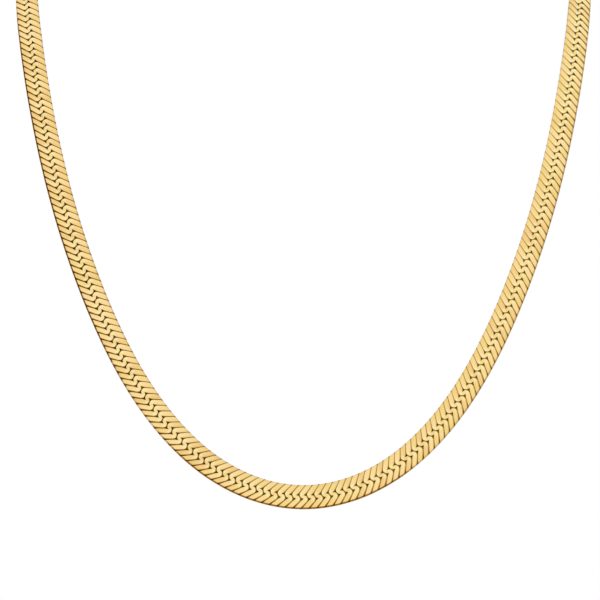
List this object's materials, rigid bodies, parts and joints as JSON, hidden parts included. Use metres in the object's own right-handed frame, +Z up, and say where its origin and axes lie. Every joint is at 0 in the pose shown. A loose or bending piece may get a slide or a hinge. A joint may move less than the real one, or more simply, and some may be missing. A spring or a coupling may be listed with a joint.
{
  "type": "flat snake chain necklace",
  "caption": "Flat snake chain necklace in its worn shape: a woven flat band of S-shaped links in a U, closed at the nape by end caps, jump rings and a plain clasp.",
  "frame": {"origin": "on the inner face of the clasp, at its middle, where the necklace sits on the nape", "axes": "+Z up, -Y from the nape towards the front of the neck, +X to the right as the front is looked at from outside"},
  "size_m": [0.131, 0.097, 0.1471],
  "materials": {
    "polished_gold_links": "polished yellow gold plate on flattened links",
    "polished_gold_findings": "polished yellow gold plate"
  },
  "bodies": {
    "root": {"chain": "polished_gold_links", "end_cap_right": "polished_gold_findings", "end_cap_left": "polished_gold_findings", "jump_ring_right": "polished_gold_findings", "jump_ring_left": "polished_gold_findings", "clasp": "polished_gold_findings"}
  },
  "joints": []
}
